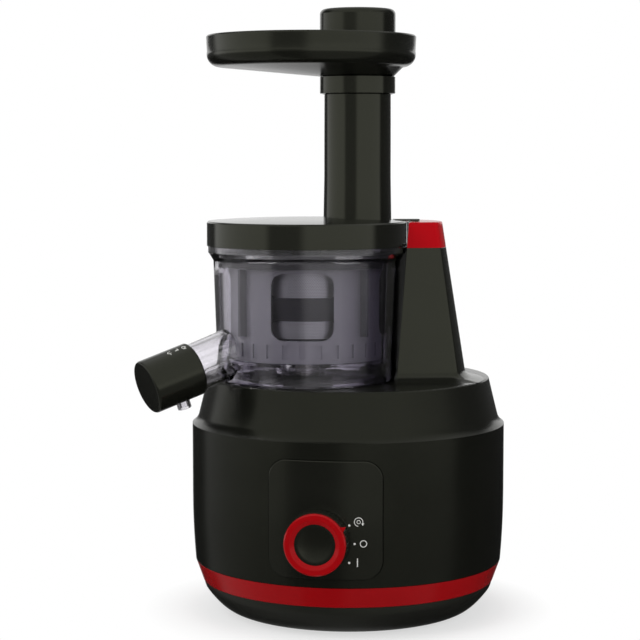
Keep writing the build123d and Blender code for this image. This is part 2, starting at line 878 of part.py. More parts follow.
def make_motor_upper_bracket():
    body = ring(stator_radius, shaft_radius + 1, case_low - 3, case_low)
    body = body + ring(stator_radius, stator_radius - bracket_wall, stator_high, case_low - 2)
    body = body + ring(bracket_bore + 2.5, bracket_bore, case_low - 8.2, case_low - 2)
    for a in motor_ear_angles:
        spot = Rot(0, 0, a) * Pos(motor_ear_circle, 0, 0)
        link = Rot(0, 0, a) * block(motor_ear_circle - 9, motor_ear_circle, 10, case_low - 3, case_low)
        body = body + spot * disc(5, case_low - 3, case_low) + link
        body = body - spot * disc(screw_shank + 0.2, case_low - 4, case_low + 1)
    vent = wedge(33, -12, 12, case_low - 4, case_low + 1) - disc(16, 0, 200)
    return on_motor(cut(body, around(vent, 6)))


def make_motor_bearings():
    return [
        on_motor(bearing(shaft_radius, bracket_bore, bracket_low + 3.05, bracket_low + 8)),
        on_motor(bearing(shaft_radius, bracket_bore, case_low - 8, case_low - 3.05)),
    ]


def make_motor_shaft():
    return on_motor(disc(shaft_radius, fan_low - 1, first_low + first_width + 1.5))


def make_motor_rotor():
    body = ring(rotor_radius, shaft_radius + seat, stator_low, stator_high)
    skew = Pos(rotor_radius, 0, 0) * disc(0.9, stator_low - 1, stator_high + 1)
    return on_motor(cut(body, around(skew, 12)))


def make_cooling_fan():
    hub = ring(2 * shaft_radius, shaft_radius + seat, fan_low, fan_low + fan_height)
    plate = ring(fan_radius, shaft_radius + seat, fan_low, fan_low + 1.5)
    blade = Pos(0, 2, 0) * block(2 * shaft_radius - 1, fan_radius - 1, 1.5, fan_low + 1, fan_low + fan_height)
    return on_motor(fused([hub, plate] + around(blade, 9)))


# Gear case


def case_discs(grow, low, high):
    out = second_module * wheel_teeth / 2 + second_module + case_gap + grow
    mid = first_module * wheel_teeth / 2 + first_module + case_gap + grow
    near = first_module * pinion_teeth / 2 + first_module + case_gap + grow
    shapes = [on_bowl(disc(out, low, high)), on_axle(disc(mid, low, high)), on_motor(disc(near, low, high))]
    return fused(shapes)


def make_gearbox_housing():
    body = case_discs(case_wall, case_low, case_top) - case_discs(0, case_low + case_floor, case_top + 1)
    body = body + on_motor(disc(motor_ear_circle + 5, case_low, case_low + case_floor))
    for x, y in case_screw_places():
        ear = Pos(x, y, 0) * disc(post_radius + 0.5, case_low, case_top)
        body = body + (ear - case_discs(0, case_low, case_top + 1))
    for x, y in case_screw_places():
        body = body - Pos(x, y, 0) * disc(screw_shank + 0.2, case_low - 1, case_top + 1)
    body = body + on_bowl(ring(13.5, 11, case_low + case_floor - 0.5, case_low + case_floor + 6))
    body = body - on_bowl(disc(6.3, case_low - 1, case_low + case_floor + 1))
    body = body - on_motor(disc(shaft_radius + 1, case_low - 1, case_low + case_floor + 1))
    body = body - on_axle(disc(axle_radius + seat, case_low - 1, case_low + case_floor + 1))
    for a in motor_ear_angles:
        spot = Rot(0, 0, a) * Pos(motor_ear_circle, 0, 0)
        stud = spot * disc(4.5, case_low + 1, case_low + 11)
        body = body + on_motor(stud) - on_motor(spot * disc(screw_shank + seat, case_low - 1, case_low + 9))
    return body


def make_gearbox_cover():
    top = cover_top
    body = case_discs(case_wall, case_top, top)
    for x, y in case_screw_places():
        body = body + Pos(x, y, 0) * disc(post_radius + 0.5, case_top, top)
    body = body + on_bowl(disc(18.5, case_top, top + 8))
    body = body - on_bowl(disc(15, top, top + 9)) - on_bowl(disc(output_radius + 1, case_top - 1, top + 1))
    body = body - on_axle(disc(axle_radius + seat, case_top - 1, top + 1))
    for x, y in case_screw_places():
        body = body - Pos(x, y, 0) * disc(screw_shank + 0.2, case_top - 1, top + 1)
    return body


def make_gearbox_screws():
    screw = disc(screw_shank, case_low, case_top + 17) + disc(screw_head, case_low - 2.6, case_low)
    return [Pos(x, y, 0) * screw for x, y in case_screw_places()]


def make_motor_screws():
    screw = disc(screw_shank, case_low - 3, case_low + 8) + disc(screw_head, case_low - 5.6, case_low - 3)
    return [on_motor(Rot(0, 0, a) * Pos(motor_ear_circle, 0, 0) * screw) for a in motor_ear_angles]


def direction(x0, y0, x1, y1):
    return degrees(atan2(y1 - y0, x1 - x0))


first_turn = direction(motor_x, motor_y, axle_x, axle_y)
second_turn = direction(axle_x, axle_y, bowl_x, bowl_y)


def make_motor_pinion():
    body = gear(pinion_teeth, first_module, first_low - 0.4, first_low + first_width + 0.4, first_turn)
    return on_motor(body - disc(shaft_radius + seat, 0, 200))


def make_intermediate_gear():
    turn = first_turn + 180 + 180 / wheel_teeth
    top = first_low + first_width
    body = gear(wheel_teeth, first_module, first_low, top, turn)
    body = body - ring(24, 12, first_low + 2.4, top + 0.1)
    body = body - ring(24, 12, first_low - 0.1, first_low + 0.8)
    return on_axle(body - disc(9 + seat, 0, 200))


def make_intermediate_pinion():
    top = second_low + second_width + 1.4
    body = gear(pinion_teeth, second_module, second_low - 1.4, top, second_turn)
    body = body + disc(9, first_low, second_low - 1.3)
    return on_axle(body - disc(axle_radius + running, 0, 200))


def make_intermediate_axle():
    return on_axle(disc(axle_radius, case_low, cover_top))


def make_output_gear():
    turn = second_turn + 180 + 180 / wheel_teeth
    top = second_low + second_width
    body = gear(wheel_teeth, second_module, second_low, top, turn)
    for low, high in ((second_low - 0.1, second_low + 3), (top - 3, top + 1)):
        body = body - ring(31, 14, low, high)
    return on_bowl(body - disc(output_radius + seat, 0, 200))


def make_output_shaft():
    low = case_low + case_floor + 0.2
    body = disc(output_foot, low, second_low) + disc(output_radius, second_low - 0.5, hub_top + 0.6)
    hexagon = RegularPolygon(output_radius, 6)
    body = body + Pos(0, 0, hub_top) * extrude(hexagon, amount=shaft_top - hub_top)
    return on_bowl(body)


def make_output_bearings():
    low = case_low + case_floor
    return [
        on_bowl(bearing(output_foot, 11, low + 0.05, low + 5.5)),
        on_bowl(bearing(output_radius, 15, cover_top + 0.05, cover_top + 7)),
    ]


def make_shaft_seal():
    body = ring(seal_radius - seat, output_radius + 1.5, bowl_bottom + 0.05, bowl_bottom + 7)
    body = body + ring(output_radius + 2, output_radius + running, bowl_bottom + 4, bowl_bottom + 6)
    return on_bowl(body)


# Bowl

def bowl_interior():
    """Space inside the bowl wall, down to the bottom of the juice trough."""
    return turned([
        (0, trough_low), (trough_low_radius, trough_low), (wall_inner(bowl_low_height), bowl_low_height),
        (ledge_bore, strainer_seat), (lip_bore, strainer_seat),
        (lip_bore, lip_height + 1), (0, lip_height + 1),
    ])


def wall_inner(height):
    """Inner radius of the bowl wall."""
    share = (height - bowl_low_height) / (bowl_flare_height - bowl_low_height)
    return bowl_low_radius - bowl_wall + (bowl_top_radius - bowl_low_radius) * share


def spout_frame():
    a, d = radians(spout_angle), radians(spout_drop)
    ux, uy, uz = cos(d) * cos(a), cos(d) * sin(a), -sin(d)
    start = (bowl_x + spout_start * cos(a), bowl_y + spout_start * sin(a), spout_height)
    return Plane(origin=start, x_dir=(-uy, ux, 0), z_dir=(ux, uy, uz))


def pulp_turn(shape):
    return Rot(0, 0, pulp_angle) * shape


def bowl_outside():
    knee = (bowl_low_radius - 1.6, bowl_bottom + 5.4)
    return turned_edges(
        ThreePointArc((bowl_foot, bowl_bottom), knee, (bowl_low_radius, bowl_low_height)),
        Polyline(
            (bowl_low_radius, bowl_low_height), (bowl_top_radius, bowl_flare_height), (rim_radius, rim_low),
            (rim_radius, rim_height), (lip_radius, rim_height), (lip_radius, lip_height), (0, lip_height),
            (0, bowl_bottom), (bowl_foot, bowl_bottom),
        ),
    )


def guide_rib():
    """Upright rib on the outside of the bowl wall, beside the tower."""
    low, high = bowl_low_height + 6, bowl_flare_height - 1
    radii = [wall_inner(height) + bowl_wall for height in (low, high)]
    side = Polyline(
        (radii[0] - 0.5, low), (radii[0] + guide_proud, low), (radii[1] + guide_proud, high),
        (radii[1] - 0.5, high), close=True,
    )
    return extrude(make_face(Plane.XZ * side), amount=guide_width / 2, both=True)


def make_juice_bowl():
    interior = bowl_interior()
    under = disc(trough_inner - bowl_wall, bowl_bottom - 1, floor_top - floor_thick)
    middle = disc(trough_inner, bowl_bottom + 2, floor_top) - under
    body = bowl_outside() - interior - under + middle
    pulp_top = floor_top - floor_thick
    channel = block(pulp_start - pulp_wall, pulp_reach, pulp_width, pulp_low, floor_top - 0.6)
    body = body + pulp_turn(channel)
    body = body + disc(hub_bore + hub_wall, bowl_bottom + 10, hub_top)
    body = body - disc(hub_bore, bowl_bottom, hub_top + 1)
    inner_width = pulp_width - 2 * pulp_wall
    bore = block(pulp_start, pulp_reach + 1, inner_width, pulp_low + pulp_wall, pulp_top)
    drop = block(pulp_start, pulp_start + pulp_length + 1, pulp_hole + 1, pulp_top - 1, floor_top + 1)
    plug_start = pulp_start + plug_inset
    plug = block(plug_start, plug_start + plug_length, plug_width, pulp_low - 1, pulp_low + pulp_wall + 1)
    body = cut(body, [pulp_turn(one) for one in (bore, drop, plug)])
    for angle in guide_angles:
        body = body + Rot(0, 0, tower_angle + angle) * guide_rib()
    # Pivot pin for the wiper pinion
    pin = disc(pin_radius, floor_top - 1, gear_top - 0.5)
    body = body + Rot(0, 0, gear_angle) * Pos(wiper_distance, 0, 0) * pin
    tube = spout_frame() * spout_body() - on_bowl(interior)
    body = on_bowl(body) + (tube - on_bowl(disc(spout_start - 4, bowl_bottom, lip_height)))
    body = body - spout_frame() * disc(spout_bore, -6, cap_back + cap_length)
    across = spout_frame() * Pos(0, 0, nose_along) * Rot(90, 0, 0)
    nose = across * disc(nose_radius, spout_bore + 0.6, nose_reach)
    return body + nose - across * disc(nose_bore, 4, nose_reach + 1)


def spout_body():
    tip = cap_back + cap_length - cap_wall - 0.5
    body = turned([
        (0, -16), (spout_root + 0.4, -16), (spout_end, cap_back - 0.6), (spout_tip, cap_back - 0.2),
        (spout_tip, tip), (0, tip),
    ])
    rib = block(spout_end - 0.4, spout_root + spout_rib, spout_rib, -2, cap_back - 0.8)
    return body + rib - ring(spout_tip + 1, spout_groove, seal_along, seal_along + 2.1)


def make_hub_seal():
    body = ring(hub_bore - seat, output_radius + 1, hub_top - 8, hub_top)
    return on_bowl(body + ring(output_radius + 1.5, output_radius + 0.15, hub_top - 3, hub_top))


def make_pulp_plug():
    low = pulp_start + plug_inset
    high = low + plug_length
    body = block(low + 0.1, high - 0.1, plug_width - 0.2, pulp_low, pulp_low + pulp_wall)
    return on_bowl(pulp_turn(body + block(low - 3, high + 3, plug_width + 5, pulp_low - 2.4, pulp_low)))


def make_spout_cap():
    back, front = cap_back, cap_back + cap_length
    body = turned([
        (0, front - cap_wall), (cap_radius - cap_wall, front - cap_wall), (cap_radius - cap_wall, back),
        (cap_radius - 0.6, back), (cap_radius, back + 0.6), (cap_radius, front - 1.6),
        (cap_radius - 0.5, front - 0.5), (cap_radius - 1.6, front), (0, front),
    ])
    slot = wedge(cap_radius + 3, -199, -71, back - 1, nose_along + nose_radius + 0.8)
    slot = slot - disc(spout_tip, back - 2, front)
    return spout_frame() * (body - slot)


def make_spout_seal():
    low = seal_along + 0.05
    return spout_frame() * ring(cap_radius - cap_wall - 0.06, spout_groove + seat, low, low + 2)


# Press set

def make_wiper_pinion():
    turn = gear_angle + 180 + 180 / wiper_teeth
    body = gear(wiper_teeth, bowl_module, floor_top + slip, gear_top, turn)
    body = body - disc(pin_radius + running, floor_top, gear_top + 1)
    return on_bowl(Rot(0, 0, gear_angle) * Pos(wiper_distance, 0, 0) * Rot(0, 0, -gear_angle) * body)


def blade_angles():
    return [window_turn + 45 + 90 * i for i in range(4)]


def make_wiper_cage():
    low = floor_top + slip
    body = ring(cage_radius, cage_bore, low, cage_top)
    body = body + ring(cage_bore + 0.5, bowl_module * cage_teeth / 2 - 3, low, gear_top)
    body = body - gear_hole(cage_teeth, bowl_module, low - 1, gear_top + 1, gear_angle + 180 / cage_teeth)
    height = window_high - window_low
    face = Plane.YZ.offset(cage_bore - 6) * Pos(0, (window_low + window_high) / 2) * RectangleRounded(
        window_width, height, window_corner
    )
    body = cut(body, around(extrude(face, amount=14), 4, window_turn))
    notch = block(cage_radius - 1.2, cage_radius + 1, 3.6, low + 3, low + 12)
    body = cut(body, around(notch, notch_count, window_turn))
    slit = block(cage_bore - 4, cage_radius + 2, blade_thick + 0.04, blade_low - 0.1, blade_high + 0.1)
    return on_bowl(cut(body, [Rot(0, 0, a) * slit for a in blade_angles()]))


def make_wiper_blades():
    reach = wall_inner(blade_low) - blade_gap
    blade = block(strainer_radius + 0.4, reach, blade_thick, blade_low, blade_high)
    return [on_bowl(Rot(0, 0, a) * blade) for a in blade_angles()]


def make_strainer_frame():
    top = strainer_seat + flange_thick
    floor = strainer_floor + strainer_floor_thick
    flange = lip_bore - slip
    body = turned([
        (strainer_hole, strainer_floor), (strainer_radius, strainer_floor), (strainer_radius, strainer_seat),
        (skirt_radius - skirt_thick, strainer_seat), (skirt_radius - skirt_thick, skirt_low),
        (skirt_radius, skirt_low), (skirt_radius + 0.2, strainer_seat), (flange, strainer_seat),
        (flange, top), (strainer_bore, top), (strainer_bore, floor), (strainer_hole, floor),
    ])
    for low, high in screen_bands:
        middle = Plane.YZ.offset(strainer_bore - screen_cut) * Pos(0, strainer_floor + (low + high) / 2)
        face = middle * RectangleRounded(screen_width, high - low, 3)
        opening = extrude(face, amount=screen_cut + strainer_radius - strainer_bore + 1)
        body = cut(body, around(opening, screen_count, window_turn))
    # Pulp collar down to the bowl floor
    length = pulp_length + 1.8
    collar = block(pulp_start - 2, pulp_start + length, pulp_hole + 4, floor_top + slip, strainer_floor + 0.5)
    hole = block(pulp_start, pulp_start + pulp_length, pulp_hole, floor_top, strainer_floor + 4)
    return on_bowl(body + pulp_turn(collar) - pulp_turn(hole))


def make_strainer_mesh():
    low = strainer_floor + strainer_floor_thick + 0.05
    return on_bowl(ring(mesh_radius, mesh_radius - mesh_thick, low, strainer_seat - 1))


def flight():
    """One spiral of the screw, swept around the core."""
    height = flight_pitch * flight_turns
    path = Helix(flight_pitch, height, 30)
    inner = auger_core_high - 4
    half = flight_thick / 2
    section = make_face(Polyline(
        (inner, -half - 1), (auger_reach, -half), (auger_reach, half), (inner, half + 1), close=True
    ))
    return Pos(0, 0, flight_low + half + 1.2) * sweep(Plane.XZ * section, path=path, is_frenet=True)


def make_auger():
    gear_low = floor_top + slip
    body = gear(auger_teeth, bowl_module, gear_low, gear_top, gear_angle)
    core = turned([
        (0, gear_low + 0.4), (14.6, gear_low + 0.4), (14.6, gear_top), (auger_foot, gear_top),
        (auger_foot, flight_low), (auger_core_low, flight_low), (auger_core_high, pivot_low),
        (pivot_radius, pivot_low), (pivot_radius, pivot_top - 1), (pivot_radius - 1, pivot_top),
        (0, pivot_top),
    ])
    body = body + core + flight()
    body = body - disc(hub_bore + hub_wall + 0.5, floor_top, hub_top + 1)
    return on_bowl(body - disc(socket_outer + seat, hub_top, shaft_top + 1.2))


def make_drive_socket():
    body = disc(socket_outer, hub_top + 1, shaft_top + 1)
    hexagon = RegularPolygon(output_radius + 0.2, 6)
    return on_bowl(body - Pos(0, 0, hub_top) * extrude(hexagon, amount=shaft_top - hub_top + 0.4))


# Lid, chute, tray and pusher

def on_chute(shape):
    return on_bowl(Rot(0, 0, tower_angle) * Pos(chute_offset, 0, 0) * shape)


def on_tray(shape):
    return on_bowl(Rot(0, 0, tower_angle) * Pos(tray_offset, 0, 0) * shape)


def make_lid_seal():
    return on_bowl(ring(lip_radius, lip_bore + 0.2, lip_height, lip_height + seal_height))


def make_lid():
    over_seal = lip_height + seal_height + slip
    side = Polyline(
        (0, lid_under), (lip_radius - slip, lid_under), (lip_radius - slip, over_seal),
        (lip_radius + slip, over_seal), (lip_radius + slip, lid_low), (lid_radius, lid_low),
        (lid_radius, lid_top - 1), (lid_radius - 1, lid_top),
    )
    flank = (lid_radius - 1 + lid_flat) / 2
    dome = ThreePointArc(
        (lid_radius - 1, lid_top), (flank, lid_top + 0.72 * lid_dome), (lid_flat, lid_top + lid_dome)
    )
    middle = Polyline((lid_flat, lid_top + lid_dome), (0, lid_top + lid_dome), (0, lid_under))
    plate = turned_edges(side, dome, middle)
    locator = ring(lip_bore - 0.8, lip_bore - 3, lip_height - 4, lid_under + 0.5)
    boss = disc(bush_radius + 2.3, pivot_low + 6, lid_under + 0.5)
    body = on_bowl(plate + locator + boss - disc(bush_radius + seat, pivot_low, lid_under - 1))
    tube = turned([
        (0, lid_under), (chute_foot, lid_under), (chute_foot, lid_top + 1), (chute_radius, lid_top + 30),
        (chute_radius, socket_low), (socket_radius, socket_low + 0.8), (socket_radius, socket_top),
        (0, socket_top),
    ])
    body = body + on_chute(tube)
    body = body - on_chute(disc(chute_bore, pivot_low, socket_top + 1))
    body = body - on_chute(disc(socket_bore, neck_low - 0.5, socket_top + 1))
    tongue_low = tower_top + slip
    tongue = block(lid_radius - 8, tongue_reach, tongue_width, tongue_low, tongue_low + tongue_thick)
    peg = block(peg_radius_in, peg_radius_out, peg_width, groove_low + 0.4, tongue_low + 0.5)
    return body + on_tower(tongue) + on_tower(peg)


def make_lid_bush():
    return on_bowl(ring(bush_radius, pivot_radius + 0.1, pivot_low + 7, pivot_top + 1.5))


def funnel(rim, foot, rise):
    """Slanted cone from the dish floor down to the feed tube."""
    aside = chute_offset - tray_offset
    upper = Pos(0, 0, tray_low + rise) * Circle(rim)
    lower = Pos(aside, 0, tray_seat + rise) * Circle(foot)
    return loft([lower, upper], ruled=True)


def dish(inset):
    """The round dish, or the space inside it for an inset of one wall."""
    low = tray_low + inset
    bend = tray_low + tray_bend
    side = tray_radius - 0.5 - inset
    top = tray_top + inset
    rim = [(tray_radius - inset, tray_top - 1), (tray_radius - inset - 0.8, tray_top)]
    if inset:
        rim = [(tray_radius - inset, top)]
    return turned_edges(
        Line((0, low), (tray_flat, low)),
        TangentArc((tray_flat, low), (side, bend), tangent=(1, 0)),
        Polyline((side, bend), *rim, (0, top), (0, low)),
    )


def make_feeding_tray():
    body = on_tray(dish(0) + funnel(tray_flat, funnel_foot, 0))
    body = body + on_chute(disc(chute_radius, neck_low, tray_seat + tray_wall))
    body = body - on_tray(dish(tray_wall)) - on_tray(funnel(tray_flat - 1, funnel_foot - 1, tray_wall))
    return body - on_chute(disc(chute_bore, neck_low - 1, tray_top))


def head_low():
    """Underside of the pusher's head, just above the steep side of the funnel."""
    steep = tray_flat - 1 - (chute_offset - tray_offset)
    share = (pusher_head + slip - (funnel_foot - 1)) / (steep - (funnel_foot - 1))
    return tray_seat + tray_wall + funnel_drop * share + slip


def make_pusher_body():
    low = head_low()
    body = disc(pusher_stem, pusher_low, low + 16) + disc(pusher_head - 1.6, low, low + 3)
    return on_chute(body - disc(pusher_stem - pusher_wall, pusher_low + pusher_wall, low + 17))


def make_pusher_cap():
    low = head_low()
    head = disc(pusher_head, low, pusher_top)
    head = fillet(head.edges().filter_by(GeomType.CIRCLE).sort_by(Axis.Z)[-1], 3.5)
    body = head - disc(pusher_head - pusher_wall + 0.5, low - 1, pusher_top - 3)
    spigot_outer = pusher_stem - pusher_wall - seat
    spigot = ring(spigot_outer, spigot_outer - pusher_wall, low + 12, pusher_top - 2)
    return on_chute(body + spigot)


makers = {
    "base_housing": make_base_housing,
    "base_band": make_base_band,
    "bottom_shell": make_bottom_shell,
    "rubber_feet": make_rubber_feet,
    "base_screws": make_base_screws,
    "control_panel": make_control_panel,
    "rotary_switch": make_rotary_switch,
    "switch_shaft": make_switch_shaft,
    "knob_body": make_knob_body,
    "knob_ring": make_knob_ring,
    "tower_housing": make_tower_housing,
    "tower_cap": make_tower_cap,
    "tower_screws": make_tower_screws,
    "interlock_switch": make_interlock_switch,
    "interlock_plunger": make_interlock_plunger,
    "cord_gland": make_cord_gland,
    "control_board": make_control_board,
    "board_components": make_board_components,
    "stator_core": make_stator_core,
    "stator_windings": make_stator_windings,
    "motor_lower_bracket": make_motor_lower_bracket,
    "motor_upper_bracket": make_motor_upper_bracket,
    "motor_bearings": make_motor_bearings,
    "motor_screws": make_motor_screws,
    "motor_shaft": make_motor_shaft,
    "motor_rotor": make_motor_rotor,
    "cooling_fan": make_cooling_fan,
    "motor_pinion": make_motor_pinion,
    "gearbox_housing": make_gearbox_housing,
    "gearbox_cover": make_gearbox_cover,
    "gearbox_screws": make_gearbox_screws,
    "intermediate_axle": make_intermediate_axle,
    "intermediate_gear": make_intermediate_gear,
    "intermediate_pinion": make_intermediate_pinion,
    "output_gear": make_output_gear,
    "output_shaft": make_output_shaft,
    "output_bearings": make_output_bearings,
    "shaft_seal": make_shaft_seal,
    "juice_bowl": make_juice_bowl,
    "hub_seal": make_hub_seal,
    "pulp_plug": make_pulp_plug,
    "spout_cap": make_spout_cap,
    "spout_seal": make_spout_seal,
    "wiper_pinion": make_wiper_pinion,
    "wiper_cage": make_wiper_cage,
    "wiper_blades": make_wiper_blades,
    "strainer_frame": make_strainer_frame,
    "strainer_mesh": make_strainer_mesh,
    "auger": make_auger,
    "drive_socket": make_drive_socket,
    "lid_seal": make_lid_seal,
    "lid": make_lid,
    "lid_bush": make_lid_bush,
    "feeding_tray": make_feeding_tray,
    "pusher_body": make_pusher_body,
    "pusher_cap": make_pusher_cap,
}

for name, make in makers.items():
    save(name, make())
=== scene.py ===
import json
from math import cos, pi, radians, sin

import bmesh
import bpy
from mathutils import Matrix, Vector


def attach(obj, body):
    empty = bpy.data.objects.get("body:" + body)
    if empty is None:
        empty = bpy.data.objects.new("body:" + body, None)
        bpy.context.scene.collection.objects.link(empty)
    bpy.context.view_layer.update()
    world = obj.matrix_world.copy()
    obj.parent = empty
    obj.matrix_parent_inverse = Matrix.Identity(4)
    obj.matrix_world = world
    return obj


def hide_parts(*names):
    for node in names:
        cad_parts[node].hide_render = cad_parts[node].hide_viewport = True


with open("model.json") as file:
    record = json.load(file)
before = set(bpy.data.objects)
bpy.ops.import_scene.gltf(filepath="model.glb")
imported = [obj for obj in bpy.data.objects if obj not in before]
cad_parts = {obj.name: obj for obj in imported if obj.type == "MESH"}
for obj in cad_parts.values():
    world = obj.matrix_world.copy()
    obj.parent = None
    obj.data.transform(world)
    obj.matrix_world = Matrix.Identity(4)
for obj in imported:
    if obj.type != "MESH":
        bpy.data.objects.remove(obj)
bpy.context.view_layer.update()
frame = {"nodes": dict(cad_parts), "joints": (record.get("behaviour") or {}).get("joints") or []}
scene = bpy.context.scene
nodes = frame["nodes"]
joints = {joint["name"]: joint for joint in frame["joints"]}
mm = 0.001
print("frame loaded:", len(nodes), "nodes")


# Camera

cameraSettings = {
    "place": (0.1885, -1.3127, 0.3153),
    "turn": 9.0,            # degrees round from the control panel
    "tilt": 5.07,           # degrees down
    "lens": 110.1,
}


def makeCamera(settings):
    data = bpy.data.cameras.new("camera")
    data.lens = settings["lens"]
    camera = bpy.data.objects.new("camera", data)
    camera.location = settings["place"]
    camera.rotation_euler = (radians(90 - settings["tilt"]), 0, radians(settings["turn"]))
    scene.collection.objects.link(camera)
    scene.camera = camera


makeCamera(cameraSettings)
scene.view_settings.view_transform = "Standard"
print("camera placed")


# Shader helpers

class Signal:
    # wraps a socket; every operator adds its own Math node
    def __init__(self, tree, socket):
        self.tree = tree
        self.socket = socket

    def math(self, operation, *others):
        inputs = dict(enumerate((self, *others)))
        return self.tree.node("Math", {"operation": operation}, inputs)

    def __add__(self, other):
        return self.math("ADD", other)

    def __mul__(self, other):
        return self.math("MULTIPLY", other)

    def __sub__(self, other):
        return self.math("SUBTRACT", other)

    def __rsub__(self, other):
        return self.tree.node("Math", {"operation": "SUBTRACT"}, {0: other, 1: self})

    def __truediv__(self, other):
        return self.math("DIVIDE", other)

    __radd__ = __add__
    __rmul__ = __mul__


class Tree:
    # the nodes of one material, or of the world
    def __init__(self, owner):
        owner.use_nodes = True
        self.owner = owner
        self.nodes = owner.node_tree.nodes
        self.links = owner.node_tree.links

    def node(self, kind, settings=None, inputs=None, output=0):
        made = self.nodes.new("ShaderNode" + kind)
        for name, value in (settings or {}).items():
            if name == "stops":
                self.setStops(made.color_ramp, value)
            else:
                setattr(made, name, value)
        for name, value in (inputs or {}).items():
            self.feed(made.inputs[name], value)
        return Signal(self, made.outputs[output])

    def feed(self, socket, value):
        if isinstance(value, Signal):
            self.links.new(value.socket, socket)
        else:
            socket.default_value = value

    def setStops(self, ramp, stops):
        while len(ramp.elements) < len(stops):
            ramp.elements.new(0.5)
        for element, (place, level) in zip(ramp.elements, stops):
            element.position = place
            element.color = (level, level, level, 1)

    def place(self, centre=(0, 0, 0), turn=(0, 0, 0), scale=(1, 1, 1)):
        where = self.node("TexCoord", output="Object")
        return self.node("Mapping", {"vector_type": "POINT"},
                         {"Vector": where, "Location": centre, "Rotation": turn, "Scale": scale})

    def noise(self, where, scale, detail=3.0):
        return self.node("TexNoise", {}, {"Vector": where, "Scale": scale, "Detail": detail})

    def fade(self, value, low, high, fromValue=0.0, toValue=1.0):
        return self.node("MapRange", {"clamp": True}, {0: value, 1: low, 2: high, 3: fromValue, 4: toValue})

    def mix(self, factor, first, second):
        return self.node("Mix", {"data_type": "RGBA"}, {0: factor, 6: first, 7: second}, output=2)

    def split(self, vector):
        outputs = self.node("SeparateXYZ", {}, {0: vector}).socket.node.outputs
        return [Signal(self, outputs[index]) for index in range(3)]

    def ray(self, kind):
        # 1 for rays of that kind, otherwise 0
        return Signal(self, self.node("LightPath").socket.node.outputs["Is " + kind + " Ray"])


shaderSockets = {
    "color": "Base Color", "rough": "Roughness", "metal": "Metallic", "ior": "IOR", "alpha": "Alpha",
    "coat": "Coat Weight", "coatRough": "Coat Roughness", "clear": "Transmission Weight",
    "glint": "Specular Tint",
}


class Finish(Tree):
    # a material and its Principled shader
    def __init__(self, name):
        super().__init__(bpy.data.materials.new(name))
        self.shader = self.nodes["Principled BSDF"]

    def set(self, **values):
        for name, value in values.items():
            self.feed(self.shader.inputs[shaderSockets[name]], value)

    def bump(self, height, strength, distance):
        raised = self.node("Bump", {}, {"Height": height, "Strength": strength, "Distance": distance})
        self.feed(self.shader.inputs["Normal"], raised)


def shade(tint, amount=1.0):
    # a colour made lighter or darker
    return (*[channel * amount for channel in tint[:3]], 1.0)


# Finishes: each maker has the values that its finishes share, and finishSettings has what sets each apart

bowlX, bowlY = joints["screw_spin"]["pos_m"][:2]
midRange = (0.3, 0.7)              # where most of a noise's values lie
grainDepth = 0.0001                # metres, of fine relief

plasticSettings = {
    "cloud": 18.0,                 # scale of the faint cloud in colour and gloss
    "grain": 1500.0,               # scale of the mould's grain
    "grainShare": 0.25,            # of the grain in the gloss
    "glossRange": (0.35, 0.9),     # of cloud and grain together
    "glossSpread": (0.85, 1.2),    # shares of the roughness at its ends
    "spread": 0.12,                # how much lighter and darker the cloud makes the tint
    "relief": 0.06,
    "ior": 1.5,
    "glint": (1.0, 1.0, 1.0),
    "coat": 0.0,
    "coatRough": 0.1,
}


def plastic(name, own):
    # moulded plastic: a faint cloud in colour and gloss, and the fine grain of the mould
    made = Finish(name)
    settings = {**plasticSettings, **own}
    tint, rough, spread = settings["tint"], settings["rough"], settings["spread"]
    where = made.place()
    cloud = made.noise(where, settings["cloud"], detail=4.0)
    grain = made.noise(where, settings["grain"], detail=2.0)
    smooth, dull = settings["glossSpread"]
    made.set(color=made.mix(made.fade(cloud, *midRange), shade(tint, 1 - spread), shade(tint, 1 + spread)),
             rough=made.fade(cloud + grain * settings["grainShare"], *settings["glossRange"],
                             rough * smooth, rough * dull),
             ior=settings["ior"], glint=shade(settings["glint"]),
             coat=settings["coat"], coatRough=settings["coatRough"])
    made.bump(grain, settings["relief"], grainDepth)
    return made.owner


def clearPlastic(name, settings):
    # moulded clear plastic with slight waves and a smoky tint, and painted shade: the tint deepens round the
    # bowl on the tower's side, where the tower shades it
    made = Finish(name)
    wave = made.noise(made.place(), settings["waves"], detail=2.0)
    x, y = made.split(made.place(centre=(-bowlX, -bowlY, 0)))[:2]
    # painted shade: the tint turns deeper towards the tower's side of the bowl
    towerShade = made.fade(y.math("ARCTAN2", x), *settings["tintTurn"])
    smooth, dull = settings["rough"]
    made.set(color=made.mix(towerShade, shade(settings["tint"]), shade(settings["deepTint"])),
             clear=1.0, ior=settings["ior"], rough=made.fade(wave, *midRange, smooth, dull))
    made.bump(wave, *settings["wavy"])
    return made.owner


metalSettings = {
    "lines": (1, 1, 40),           # squeezes the noise into lines round the axis
    "scale": 120.0,
    "shades": (0.86, 1.1),
    "glossSpread": (0.8, 1.25),
    "relief": 0.12,
}


def metal(name, own):
    # turned or brushed metal: fine lines along one direction
    made = Finish(name)
    settings = {**metalSettings, **own}
    lines = made.noise(made.place(scale=settings["lines"]), settings["scale"], detail=4.0)
    dark, light = (shade(settings["tint"], amount) for amount in settings["shades"])
    smooth, dull = (settings["rough"] * share for share in settings["glossSpread"])
    made.set(color=made.mix(made.fade(lines, *midRange), dark, light), metal=1.0,
             rough=made.fade(lines, *midRange, smooth, dull))
    made.bump(lines, settings["relief"], grainDepth)
    return made.owner


